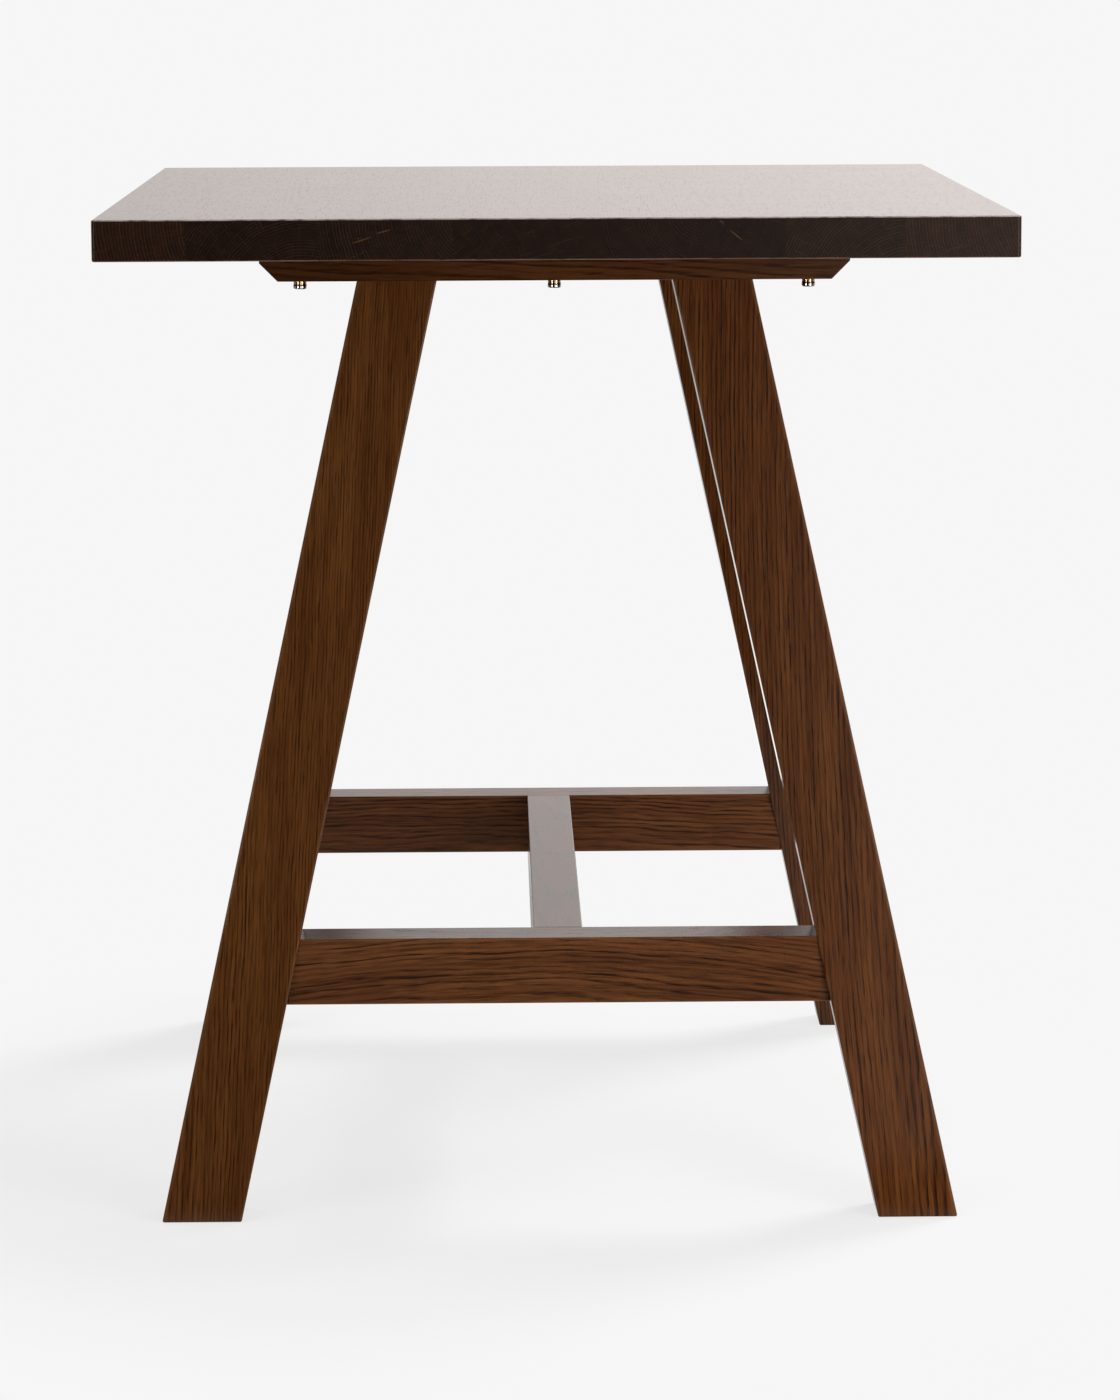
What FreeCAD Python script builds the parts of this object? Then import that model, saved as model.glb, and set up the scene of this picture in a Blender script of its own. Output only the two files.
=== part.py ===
import FreeCAD, Part
import os
import Sketcher
from FreeCAD import Vector

# Bar table in dark stained oak: a glued slab top on two splayed leg frames joined by one long stretcher.
# Frame: millimetres, +Z up, origin on the floor under the middle of the top.
# X runs across the top, Y along its length, and the end seen in the photo faces -Y.

doc = FreeCAD.newDocument("bar_table")
sheet = doc.addObject("Spreadsheet::Sheet", "sizes")

SIZES = [
    # slab top
    ("table_height", 1100),
    ("top_width", 975),
    ("top_length", 1200),
    ("top_thickness", 44),
    ("top_corner", 4),
    ("top_arris", 2),
    # seams between the staves, counted outwards from the middle of the top
    ("left_seam_3", 390),
    ("left_seam_2", 250),
    ("left_seam_1", 109),
    ("right_seam_1", 30),
    ("right_seam_2", 150),
    ("right_seam_3", 240),
    ("right_seam_4", 365),
    # bearers under the top
    ("bearer_length", 642),
    ("bearer_width", 80),
    ("bearer_thickness", 34),
    ("bearer_bevel", 20),
    ("bearer_arris", 1.5),
    # legs
    ("leg_width", 87),
    ("leg_depth", 70),
    ("leg_splay_side", 12.2),
    ("leg_splay_end", 6.2),
    ("foot_spread", 872),
    ("foot_length", 1042),
    ("leg_arris", 2),
    # rails and stretcher
    ("rail_height", 73),
    ("rail_thickness", 60),
    ("rail_top_height", 309),
    ("rail_setback", 2),
    ("rail_arris", 1.5),
    ("stretcher_width", 54),
    ("end_gap", 0.1),
    # bolts that hold the top
    ("bolt_spacing", 278),
    ("bolt_size", 8),
    ("bolt_reach", 14),
    ("head_size", 14.6),
    ("head_height", 4.4),
    ("head_rim", 1.4),
    ("socket_flats", 5),
    ("socket_depth", 2.6),
    ("bolt_hole", 9),
    ("bolt_hole_wide", 11),
    ("spring_washer_size", 14.2),
    ("coil_height", 2),
    ("coil_gap", 0.6),
    ("coil_neck", 12.4),
    ("plain_washer_size", 16),
    ("plain_washer_height", 1.6),
    ("insert_size", 12.4),
    ("insert_length", 18),
    ("round_gap", 0.3),
    # loose tenons
    ("tenon_thickness", 12),
    ("leg_tenon_width", 50),
    ("leg_tenon_in_bearer", 18),
    ("leg_tenon_in_leg", 32),
    ("rail_tenon_height", 44),
    ("rail_tenon_reach", 28),
    ("tenon_gap", 0.15),
    # joint between stretcher and rails
    ("dowel_size", 10),
    ("dowel_reach", 24),
    ("dowel_spacing", 17),
    ("stud_reach", 16),
    ("stud_wall", 36),
    ("stud_tail", 4),
    ("stud_hole", 9),
    ("pocket_width", 30),
    ("pocket_length", 46),
    ("pocket_headroom", 15),
    ("stud_washer_size", 24),
    ("stud_washer_height", 2),
    ("nut_flats", 13),
    ("nut_height", 6.5),
    # glides under the feet
    ("glide_size", 30),
    ("glide_height", 5),
    ("glide_reveal", 1),
    ("glide_rim", 0.8),
    ("glide_screw_size", 4),
    ("glide_screw_length", 22),
    ("glide_screw_head", 8),
    ("glide_screw_head_height", 1.8),
    ("glide_screw_cover", 2.5),
]

DERIVED = [
    ("top_underside", "=table_height - top_thickness"),
    ("leg_top_height", "=top_underside - bearer_thickness"),
    ("leg_rise", "=leg_top_height - glide_reveal"),
    ("side_slope", "=tan(leg_splay_side * 1deg)"),
    ("end_slope", "=tan(leg_splay_end * 1deg)"),
    ("foot_x", "=foot_spread / 2 - leg_width / 2"),
    ("foot_y", "=foot_length / 2 - leg_depth / 2"),
    ("leg_top_x", "=foot_x - side_slope * leg_rise"),
    ("leg_top_y", "=foot_y - end_slope * leg_rise"),
    ("leg_shift_x", "=side_slope * leg_rise"),
    ("leg_shift_y", "=end_slope * leg_rise"),
    ("bearer_nose", "=bearer_thickness - bearer_bevel"),
    ("rail_bottom_height", "=rail_top_height - rail_height"),
    ("rail_mid_height", "=rail_top_height - rail_height / 2"),
    ("rail_mid_rise", "=rail_mid_height - glide_reveal"),
    ("rail_y", "=foot_y + leg_depth / 2 - end_slope * (rail_top_height - glide_reveal)"
               " - rail_setback - rail_thickness / 2"),
    ("rail_mid_x", "=foot_x - leg_width / 2 - side_slope * rail_mid_rise"),
    ("rail_half_top", "=rail_mid_x - side_slope * rail_height / 2 - end_gap"),
    ("rail_half_bottom", "=rail_mid_x + side_slope * rail_height / 2 - end_gap"),
    ("rail_tenon_length", "=2 * rail_tenon_reach"),
    ("rail_mortise_length", "=rail_tenon_length + 2 * tenon_gap"),
    ("rail_mortise_y", "=foot_y - rail_y"),
    ("leg_mortise_x", "=foot_x - rail_mid_x"),
    ("tenon_slot", "=tenon_thickness + 2 * tenon_gap"),
    ("leg_tenon_slot", "=leg_tenon_width + 2 * tenon_gap"),
    ("rail_tenon_slot", "=rail_tenon_height + 2 * tenon_gap"),
    ("leg_tenon_height", "=leg_tenon_in_bearer + leg_tenon_in_leg"),
    ("leg_tenon_base", "=leg_top_height - leg_tenon_in_leg"),
    ("leg_slot_depth", "=leg_tenon_in_leg + tenon_gap"),
    ("bearer_slot_depth", "=leg_tenon_in_bearer + tenon_gap"),
    ("upper_coil_level", "=coil_height + coil_gap"),
    ("spring_washer_height", "=2 * coil_height + coil_gap"),
    ("shank_length", "=plain_washer_height + spring_washer_height + bearer_thickness + bolt_reach"),
    ("spring_washer_top", "=leg_top_height - plain_washer_height"),
    ("head_top", "=spring_washer_top - spring_washer_height"),
    ("head_bottom", "=head_top - head_height"),
    ("washer_bore", "=bolt_size + 2 * round_gap"),
    ("insert_hole", "=insert_size + 2 * round_gap"),
    ("stretcher_end", "=rail_y - rail_thickness / 2 - end_gap"),
    ("stretcher_length", "=2 * stretcher_end"),
    ("rail_face", "=rail_y - rail_thickness / 2"),
    ("rail_half_thickness", "=rail_thickness / 2"),
    ("dowel_length", "=2 * dowel_reach"),
    ("dowel_hole", "=dowel_size + 2 * round_gap"),
    ("dowel_hole_length", "=dowel_length + 2 * tenon_gap"),
    ("stud_start", "=rail_face + stud_reach"),
    ("wall_face", "=stretcher_end - stud_wall"),
    ("nut_face", "=wall_face - stud_washer_height"),
    ("nut_back", "=nut_face - nut_height"),
    ("stud_back", "=nut_back - stud_tail"),
    ("stud_length", "=stud_start - stud_back"),
    ("stud_mid", "=(stud_start + stud_back) / 2"),
    ("stud_hole_length", "=2 * stud_wall"),
    ("pocket_mid", "=wall_face - pocket_length / 2"),
    ("pocket_depth", "=rail_height / 2 + pocket_headroom"),
    ("glide_hole", "=glide_size + 2 * round_gap"),
    ("glide_recess", "=glide_height - glide_reveal"),
    ("screw_hole", "=glide_screw_size + 2 * round_gap"),
    ("screw_head_hole", "=glide_screw_head + 2 * round_gap"),
    ("screw_head_base", "=glide_height - glide_screw_cover"),
    ("screw_hole_depth", "=screw_head_base + glide_screw_length - glide_reveal + round_gap"),
    ("rail_half_height", "=rail_height / 2"),
    ("insert_hole_length", "=2 * insert_length"),
    ("insert_back", "=rail_face + insert_length"),
]

# Places across the top where one stave meets the next, with the top's own edges first and last.
SEAMS = ["-top_width / 2", "-left_seam_3", "-left_seam_2", "-left_seam_1",
         "right_seam_1", "right_seam_2", "right_seam_3", "right_seam_4", "top_width / 2"]
STAVES = len(SEAMS) - 1

for row, (alias, value) in enumerate(SIZES + DERIVED, start=1):
    sheet.set(f"A{row}", alias)
    sheet.setAlias(f"B{row}", alias)
for row, (alias, value) in enumerate(SIZES + DERIVED, start=1):
    sheet.set(f"B{row}", str(value))
doc.recompute()


def num(alias):
    """Present value of one named size."""
    return float(sheet.get(alias))


def bound(alias, sign=1):
    """Expression text that follows one named size."""
    return f"sizes.{alias}" if sign > 0 else f"-sizes.{alias}"


def new_body(label, x=None, y=None, z=None):
    """Body whose placement follows named sizes; each place is a (sign, alias) pair or None."""
    body = doc.addObject("PartDesign::Body", label)
    body.Label = label
    body.AllowCompound = True
    for axis, place in (("x", x), ("y", y), ("z", z)):
        if place:
            body.setExpression(f".Placement.Base.{axis}", bound(place[1], place[0]))
    return body


def new_sketch(body, name, plane, lift=None):
    """Sketch on one of the body's own origin planes, moved along the plane's normal by a named size."""
    sketch = body.newObject("Sketcher::SketchObject", f"{body.Label}_{name}")
    support = [item for item in body.Origin.OriginFeatures if item.Role == plane][0]
    sketch.AttachmentSupport = [(support, "")]
    sketch.MapMode = "FlatFace"
    if lift:
        sketch.setExpression(".AttachmentOffset.Base.z", bound(lift[1], lift[0]))
    return sketch


def drive(sketch, constraint, alias):
    """Add a dimension and let a named size drive it."""
    index = sketch.addConstraint(constraint)
    name = f"dim_{index}"
    sketch.renameConstraint(index, name)
    sketch.setExpression(f"Constraints.{name}", bound(alias))


def place_value(term):
    """Number for a coordinate given as None or a (sign, alias) pair."""
    return term[0] * num(term[1]) if term else 0.0


def pin(sketch, item, point, spot):
    """Hold one sketch point at a spot given by two coordinates."""
    for kind, axis, term in (("DistanceX", -2, spot[0]), ("DistanceY", -1, spot[1])):
        if not term:
            sketch.addConstraint(Sketcher.Constraint("PointOnObject", item, point, axis))
            continue
        size = num(term[1])
        if term[0] > 0:
            drive(sketch, Sketcher.Constraint(kind, -1, 1, item, point, size), term[1])
        else:
            drive(sketch, Sketcher.Constraint(kind, item, point, -1, 1, size), term[1])


def add_loop(sketch, corners):
    """Closed run of straight lines through the corners; gives back the first line's number."""
    first = sketch.GeometryCount
    count = len(corners)
    for step in range(count):
        sketch.addGeometry(Part.LineSegment(corners[step], corners[(step + 1) % count]), False)
    for step in range(count):
        following = first + (step + 1) % count
        sketch.addConstraint(Sketcher.Constraint("Coincident", first + step, 2, following, 1))
    return first


def add_rectangle(sketch, wide, high, spot=(None, None)):
    """Rectangle of two named sizes centred on a spot."""
    mid = Vector(place_value(spot[0]), place_value(spot[1]), 0)
    half_w = num(wide) / 2
    half_h = num(high) / 2
    corners = [mid + Vector(sx * half_w, sy * half_h, 0) for sx, sy in ((-1, -1), (1, -1), (1, 1), (-1, 1))]
    first = add_loop(sketch, corners)
    for step, kind in enumerate(("Horizontal", "Vertical", "Horizontal", "Vertical")):
        sketch.addConstraint(Sketcher.Constraint(kind, first + step))
    centre = sketch.addGeometry(Part.Point(mid), True)
    pin(sketch, centre, 1, spot)
    sketch.addConstraint(Sketcher.Constraint("Symmetric", first, 1, first + 1, 2, centre, 1))
    drive(sketch, Sketcher.Constraint("DistanceX", first, 1, first, 2, num(wide)), wide)
    drive(sketch, Sketcher.Constraint("DistanceY", first + 1, 1, first + 1, 2, num(high)), high)


def add_circle(sketch, size, spot=(None, None)):
    """Circle with a named diameter centred on a spot."""
    mid = Vector(place_value(spot[0]), place_value(spot[1]), 0)
    ring = sketch.addGeometry(Part.Circle(mid, Vector(0, 0, 1), num(size) / 2), False)
    pin(sketch, ring, 3, spot)
    drive(sketch, Sketcher.Constraint("Diameter", ring, num(size)), size)


def add_hexagon(sketch, flats, spot=(None, None)):
    """Hexagon with a named width across flats, two flats level."""
    mid = Vector(place_value(spot[0]), place_value(spot[1]), 0)
    apothem = num(flats) / 2
    reach = apothem * 2 / 3 ** 0.5
    turns = ((-0.5, -1), (0.5, -1), (1, 0), (0.5, 1), (-0.5, 1), (-1, 0))
    first = add_loop(sketch, [mid + Vector(a * reach, b * apothem, 0) for a, b in turns])
    ring = sketch.addGeometry(Part.Circle(mid, Vector(0, 0, 1), apothem), True)
    pin(sketch, ring, 3, spot)
    sketch.addConstraint(Sketcher.Constraint("Horizontal", first))
    for step in range(6):
        sketch.addConstraint(Sketcher.Constraint("Tangent", first + step, ring))
    for step in range(1, 4):
        sketch.addConstraint(Sketcher.Constraint("Equal", first, first + step))
    drive(sketch, Sketcher.Constraint("Diameter", ring, num(flats)), flats)


def add_pad(body, sketch, length, both_ways=False, back=False):
    """Pad of a named length along the sketch normal, or evenly to both sides of it."""
    pad = body.newObject("PartDesign::Pad", f"{sketch.Name}_pad")
    pad.Profile = sketch
    pad.setExpression("Length", bound(length))
    pad.Midplane = both_ways
    pad.Reversed = back
    body.Tip = pad
    doc.recompute()
    return pad


def add_pocket(body, sketch, length, both_ways=False, back=False):
    """Pocket of a named depth; it must take material away."""
    before = body.Shape.Volume
    pocket = body.newObject("PartDesign::Pocket", f"{sketch.Name}_pocket")
    pocket.Profile = sketch
    pocket.setExpression("Length", bound(length))
    pocket.Midplane = both_ways
    pocket.Reversed = back
    body.Tip = pocket
    doc.recompute()
    if body.Shape.Volume > before - 1:
        raise RuntimeError(f"{sketch.Name} cuts nothing")
    return pocket


def round_edges(body, radius, wanted):
    """Fillet of a named radius on the edges of the body's last feature that pass a test."""
    base = body.Tip
    names = [f"Edge{step}" for step, edge in enumerate(base.Shape.Edges, start=1) if wanted(edge)]
    fillet = body.newObject("PartDesign::Fillet", f"{base.Name}_round")
    fillet.Base = (base, names)
    fillet.setExpression("Radius", bound(radius))
    body.Tip = fillet
    doc.recompute()
    return fillet


def edge_ends(edge):
    return [vertex.Point for vertex in edge.Vertexes]


def lies_at(edge, axis, level):
    """True where every end of the edge has the given coordinate."""
    return all(abs(getattr(point, axis) - level) < 1e-3 for point in edge_ends(edge))


def runs_along(edge, axis):
    """True for a straight edge parallel to a main axis."""
    ends = edge_ends(edge)
    if len(ends) != 2:
        return False
    return all(abs(getattr(ends[1] - ends[0], other)) < 1e-3 for other in "xyz" if other != axis)


nodes = []
ENDS = (("front", -1), ("rear", 1))
SIDES = (("left", -1), ("right", 1))
BOLT_SPOTS = [(x, (y, "leg_top_y")) for y in (-1, 1)
              for x in ((-1, "bolt_spacing"), None, (1, "bolt_spacing"))]
FOOT_SPOTS = [((sx, "foot_x"), (sy, "foot_y")) for sx in (-1, 1) for sy in (-1, 1)]
LEG_TOP_SPOTS = [((sx, "leg_top_x"), (sy, "leg_top_y")) for sx in (-1, 1) for sy in (-1, 1)]


def add_sizes(pairs):
    """Put further derived sizes at the foot of the sheet."""
    row = add_sizes.row
    for alias, value in pairs:
        sheet.set(f"A{row}", alias)
        sheet.setAlias(f"B{row}", alias)
        sheet.set(f"B{row}", value)
        row += 1
    add_sizes.row = row
    doc.recompute()


add_sizes.row = len(SIZES + DERIVED) + 1


def make_stave(number):
    """One stave of the slab, with the slab's outer edges eased and sockets for the threaded inserts."""
    left, right = SEAMS[number - 1:number + 1]
    tag = f"stave_{number}"
    add_sizes([(f"{tag}_width", f"={right} - ({left})"), (f"{tag}_x", f"=(({right}) + ({left})) / 2")])
    body = new_body(f"top_{tag}", x=(1, f"{tag}_x"), z=(1, "top_underside"))
    outline = new_sketch(body, "outline", "XY_Plane")
    add_rectangle(outline, f"{tag}_width", "top_length")
    add_pad(body, outline, "top_thickness")
    half = num(f"{tag}_width") / 2
    end = num("top_length") / 2
    outer = {1: -half, STAVES: half}.get(number)
    if outer is not None:
        round_edges(body, "top_corner", lambda edge: runs_along(edge, "z") and lies_at(edge, "x", outer))
    high = num("top_thickness")

    def on_rim(edge):
        if not (lies_at(edge, "z", 0) or lies_at(edge, "z", high)):
            return False
        middle = edge.valueAt((edge.FirstParameter + edge.LastParameter) / 2)
        at_end = abs(middle.y) > end - num("top_corner")
        at_side = outer is not None and abs(middle.x - outer) < num("top_corner")
        return at_end or at_side

    round_edges(body, "top_arris", on_rim)
    reach = half + num("insert_hole") / 2
    middle_x = num(f"{tag}_x")
    for place, bolt in (("left", -1), ("mid", 0), ("right", 1)):
        offset = bolt * num("bolt_spacing") - middle_x
        if abs(offset) >= reach:
            continue
        alias = f"{tag}_{place}_insert"
        add_sizes([(alias, f"=abs({bolt} * bolt_spacing - {tag}_x)")])
        sockets = new_sketch(body, f"{place}_sockets", "XY_Plane")
        sign = 1 if offset >= 0 else -1
        for end_sign in (-1, 1):
            add_circle(sockets, "insert_hole", ((sign, alias), (end_sign, "leg_top_y")))
        add_pocket(body, sockets, "insert_length", back=True)
    nodes.append(body)


def make_bearer(end_name, end_sign):
    """Bearer across the underside of the top, with bevelled ends, bolt holes and slots for the leg tenons."""
    body = new_body(f"{end_name}_bearer", y=(end_sign, "leg_top_y"), z=(1, "leg_top_height"))
    outline = new_sketch(body, "outline", "XZ_Plane")
    half = num("bearer_length") / 2
    high = num("bearer_thickness")
    bevel = num("bearer_bevel")
    corners = [(-half + bevel, 0), (half - bevel, 0), (half, bevel), (half, high), (-half, high), (-half, bevel)]
    first = add_loop(outline, [Vector(x, z, 0) for x, z in corners])
    for step in (2, 4):
        outline.addConstraint(Sketcher.Constraint("Vertical", first + step))
    outline.addConstraint(Sketcher.Constraint("PointOnObject", first, 1, -1))
    outline.addConstraint(Sketcher.Constraint("Symmetric", first, 1, first, 2, -2))
    outline.addConstraint(Sketcher.Constraint("Symmetric", first + 3, 1, first + 3, 2, -2))
    drive(outline, Sketcher.Constraint("DistanceX", first + 3, 2, first + 3, 1, 2 * half), "bearer_length")
    drive(outline, Sketcher.Constraint("DistanceY", first, 2, first + 2, 2, high), "bearer_thickness")
    drive(outline, Sketcher.Constraint("DistanceX", first + 1, 1, first + 1, 2, bevel), "bearer_bevel")
    drive(outline, Sketcher.Constraint("DistanceY", first + 1, 1, first + 1, 2, bevel), "bearer_bevel")
    drive(outline, Sketcher.Constraint("DistanceY", first + 5, 2, first + 5, 1, bevel), "bearer_bevel")
    add_pad(body, outline, "bearer_width", both_ways=True)
    round_edges(body, "bearer_arris", lambda edge: not lies_at(edge, "z", high))
    holes = new_sketch(body, "bolt_hole", "XY_Plane")
    add_circle(holes, "bolt_hole")
    add_pocket(body, holes, "bearer_thickness", back=True)
    wide_holes = new_sketch(body, "wide_holes", "XY_Plane")
    for sign in (-1, 1):
        add_circle(wide_holes, "bolt_hole_wide", ((sign, "bolt_spacing"), None))
    add_pocket(body, wide_holes, "bearer_thickness", back=True)
    slots = new_sketch(body, "tenon_slots", "XY_Plane")
    for sign in (-1, 1):
        add_rectangle(slots, "leg_tenon_slot", "tenon_slot", ((sign, "leg_top_x"), None))
    add_pocket(body, slots, "bearer_slot_depth", back=True)
    nodes.append(body)


def make_leg(end_name, end_sign, side_name, side_sign):
    """Leg leaning both ways, level at foot and top, with slots for its two tenons and a recess for its glide."""
    body = new_body(f"{end_name}_{side_name}_leg", x=(side_sign, "foot_x"), y=(end_sign, "foot_y"),
                    z=(1, "glide_reveal"))
    foot = new_sketch(body, "foot", "XY_Plane")
    add_rectangle(foot, "leg_width", "leg_depth")
    post = body.newObject("PartDesign::Pad", f"{foot.Name}_pad")
    post.Profile = foot
    post.UseCustomVector = True
    post.AlongSketchNormal = True
    post.setExpression("Length", bound("leg_rise"))
    post.setExpression("Direction.x", bound("side_slope", -side_sign))
    post.setExpression("Direction.y", bound("end_slope", -end_sign))
    post.Direction = Vector(-side_sign * num("side_slope"), -end_sign * num("end_slope"), 1)
    body.Tip = post
    doc.recompute()
    rise = num("leg_rise")
    round_edges(body, "leg_arris", lambda edge: not lies_at(edge, "z", rise))
    top_slot = new_sketch(body, "top_slot", "XY_Plane", (1, "leg_rise"))
    add_rectangle(top_slot, "leg_tenon_slot", "tenon_slot",
                  ((-side_sign, "leg_shift_x"), (-end_sign, "leg_shift_y")))
    add_pocket(body, top_slot, "leg_slot_depth")
    rail_slot = new_sketch(body, "rail_slot", "YZ_Plane", (-side_sign, "leg_mortise_x"))
    add_rectangle(rail_slot, "tenon_slot", "rail_tenon_slot",
                  ((-end_sign, "rail_mortise_y"), (1, "rail_mid_rise")))
    add_pocket(body, rail_slot, "rail_mortise_length", both_ways=True)
    recess = new_sketch(body, "glide_recess", "XY_Plane")
    add_circle(recess, "glide_hole")
    add_pocket(body, recess, "glide_recess", back=True)
    pilot = new_sketch(body, "screw_hole", "XY_Plane")
    add_circle(pilot, "screw_hole")
    add_pocket(body, pilot, "screw_hole_depth", back=True)
    nodes.append(body)


def make_rail(end_name, end_sign):
    """Rail between two legs, its ends cut to the legs' slope, bored for the stretcher joint."""
    body = new_body(f"{end_name}_rail", y=(end_sign, "rail_y"), z=(1, "rail_bottom_height"))
    outline = new_sketch(body, "outline", "XZ_Plane")
    low = num("rail_half_bottom")
    high = num("rail_half_top")
    tall = num("rail_height")
    first = add_loop(outline, [Vector(-low, 0, 0), Vector(low, 0, 0), Vector(high, tall, 0), Vector(-high, tall, 0)])
    for step in (0, 2):
        outline.addConstraint(Sketcher.Constraint("Symmetric", first + step, 1, first + step, 2, -2))
    outline.addConstraint(Sketcher.Constraint("PointOnObject", first, 1, -1))
    drive(outline, Sketcher.Constraint("DistanceX", -1, 1, first, 2, low), "rail_half_bottom")
    drive(outline, Sketcher.Constraint("DistanceX", -1, 1, first + 2, 1, high), "rail_half_top")
    drive(outline, Sketcher.Constraint("DistanceY", -1, 1, first + 2, 1, tall), "rail_height")
    add_pad(body, outline, "rail_thickness", both_ways=True)
    round_edges(body, "rail_arris", lambda edge: runs_along(edge, "x"))
    for side_name, side_sign in SIDES:
        slot = new_sketch(body, f"{side_name}_slot", "YZ_Plane", (side_sign, "rail_mid_x"))
        add_rectangle(slot, "tenon_slot", "rail_tenon_slot", (None, (1, "rail_half_height")))
        add_pocket(body, slot, "rail_mortise_length", both_ways=True)
    bores = new_sketch(body, "dowel_holes", "XZ_Plane", (end_sign, "rail_half_thickness"))
    for sign in (-1, 1):
        add_circle(bores, "dowel_hole", ((sign, "dowel_spacing"), (1, "rail_half_height")))
    add_pocket(body, bores, "dowel_hole_length", both_ways=True)
    socket = new_sketch(body, "insert_hole", "XZ_Plane", (end_sign, "rail_half_thickness"))
    add_circle(socket, "insert_hole", (None, (1, "rail_half_height")))
    add_pocket(body, socket, "insert_hole_length", both_ways=True)
    nodes.append(body)


def make_stretcher():
    """Long stretcher between the rails, with a pocket under each end for the nut of its stud."""
    body = new_body("stretcher", z=(1, "rail_bottom_height"))
    outline = new_sketch(body, "outline", "XY_Plane")
    add_rectangle(outline, "stretcher_width", "stretcher_length")
    add_pad(body, outline, "rail_height")
    round_edges(body, "rail_arris", lambda edge: runs_along(edge, "y"))
    pockets = new_sketch(body, "nut_pockets", "XY_Plane")
    for sign in (-1, 1):
        add_rectangle(pockets, "pocket_width", "pocket_length", (None, (sign, "pocket_mid")))
    add_pocket(body, pockets, "pocket_depth", back=True)
    for end_name, end_sign in ENDS:
        bores = new_sketch(body, f"{end_name}_dowel_holes", "XZ_Plane", (-end_sign, "stretcher_end"))
        for sign in (-1, 1):
            add_circle(bores, "dowel_hole", ((sign, "dowel_spacing"), (1, "rail_half_height")))
        add_pocket(body, bores, "dowel_hole_length", both_ways=True)
        channel = new_sketch(body, f"{end_name}_stud_hole", "XZ_Plane", (-end_sign, "stretcher_end"))
        add_circle(channel, "stud_hole", (None, (1, "rail_half_height")))
        add_pocket(body, channel, "stud_hole_length", both_ways=True)
    nodes.append(body)


def make_rings(label, spots, base, height, outer, bore=None, down=False):
    """Group of equal upright discs or rings that start at one named level."""
    body = new_body(label, z=(1, base))
    sketch = new_sketch(body, "outline", "XY_Plane")
    for spot in spots:
        add_circle(sketch, outer, spot)
        if bore:
            add_circle(sketch, bore, spot)
    add_pad(body, sketch, height, back=down)
    return body


def make_top_bolts():
    """Button-head bolts that pull the top down on the bearers."""
    body = make_rings("top_bolts", BOLT_SPOTS, "head_top", "head_height", "head_size", down=True)
    bottom = -num("head_height")
    round_edges(body, "head_rim", lambda edge: lies_at(edge, "z", bottom))
    shanks = new_sketch(body, "shanks", "XY_Plane")
    for spot in BOLT_SPOTS:
        add_circle(shanks, "bolt_size", spot)
    add_pad(body, shanks, "shank_length")
    sockets = new_sketch(body, "sockets", "XY_Plane", (-1, "head_height"))
    for spot in BOLT_SPOTS:
        add_hexagon(sockets, "socket_flats", spot)
    add_pocket(body, sockets, "socket_depth", back=True)
    nodes.append(body)


def make_spring_washers():
    """Open spring washers: two coils with a narrow gap between them."""
    body = make_rings("spring_washers", BOLT_SPOTS, "head_top", "coil_height", "spring_washer_size", "washer_bore")
    for label, level, height, outer in (("gap", "coil_height", "coil_gap", "coil_neck"),
                                        ("upper_coil", "upper_coil_level", "coil_height", "spring_washer_size")):
        sketch = new_sketch(body, label, "XY_Plane", (1, level))
        for spot in BOLT_SPOTS:
            add_circle(sketch, outer, spot)
            add_circle(sketch, "washer_bore", spot)
        add_pad(body, sketch, height)
    nodes.append(body)


def make_top_hardware():
    """Washers under the bolt heads and threaded inserts in the top."""
    make_top_bolts()
    make_spring_washers()
    nodes.append(make_rings("plain_washers", BOLT_SPOTS, "spring_washer_top", "plain_washer_height",
                            "plain_washer_size", "washer_bore"))
    nodes.append(make_rings("top_inserts", BOLT_SPOTS, "top_underside", "insert_length",
                            "insert_size", "washer_bore"))


def make_leg_tenons():
    """Loose tenons between the legs and the bearers."""
    body = new_body("leg_tenons", z=(1, "leg_tenon_base"))
    sketch = new_sketch(body, "outline", "XY_Plane")
    for spot in LEG_TOP_SPOTS:
        add_rectangle(sketch, "leg_tenon_width", "tenon_thickness", spot)
    add_pad(body, sketch, "leg_tenon_height")
    nodes.append(body)


def make_rail_tenons():
    """Loose tenons between the rails and the legs."""
    body = new_body("rail_tenons", z=(1, "rail_mid_height"))
    for side_name, side_sign in SIDES:
        sketch = new_sketch(body, f"{side_name}_outline", "YZ_Plane", (side_sign, "rail_mid_x"))
        for end_sign in (-1, 1):
            add_rectangle(sketch, "tenon_thickness", "rail_tenon_height", ((end_sign, "rail_y"), None))
        add_pad(body, sketch, "rail_tenon_length", both_ways=True)
    nodes.append(body)


def make_end_group(label, height, place, draw, both_ways):
    """Group of equal lying pieces at the two ends of the stretcher, drawn at the rails' middle height."""
    body = new_body(label, z=(1, "rail_mid_height"))
    for end_name, end_sign in ENDS:
        sketch = new_sketch(body, f"{end_name}_outline", "XZ_Plane", (-end_sign, place))
        draw(sketch)
        add_pad(body, sketch, height, both_ways=both_ways, back=end_sign < 0)
    nodes.append(body)


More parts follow.
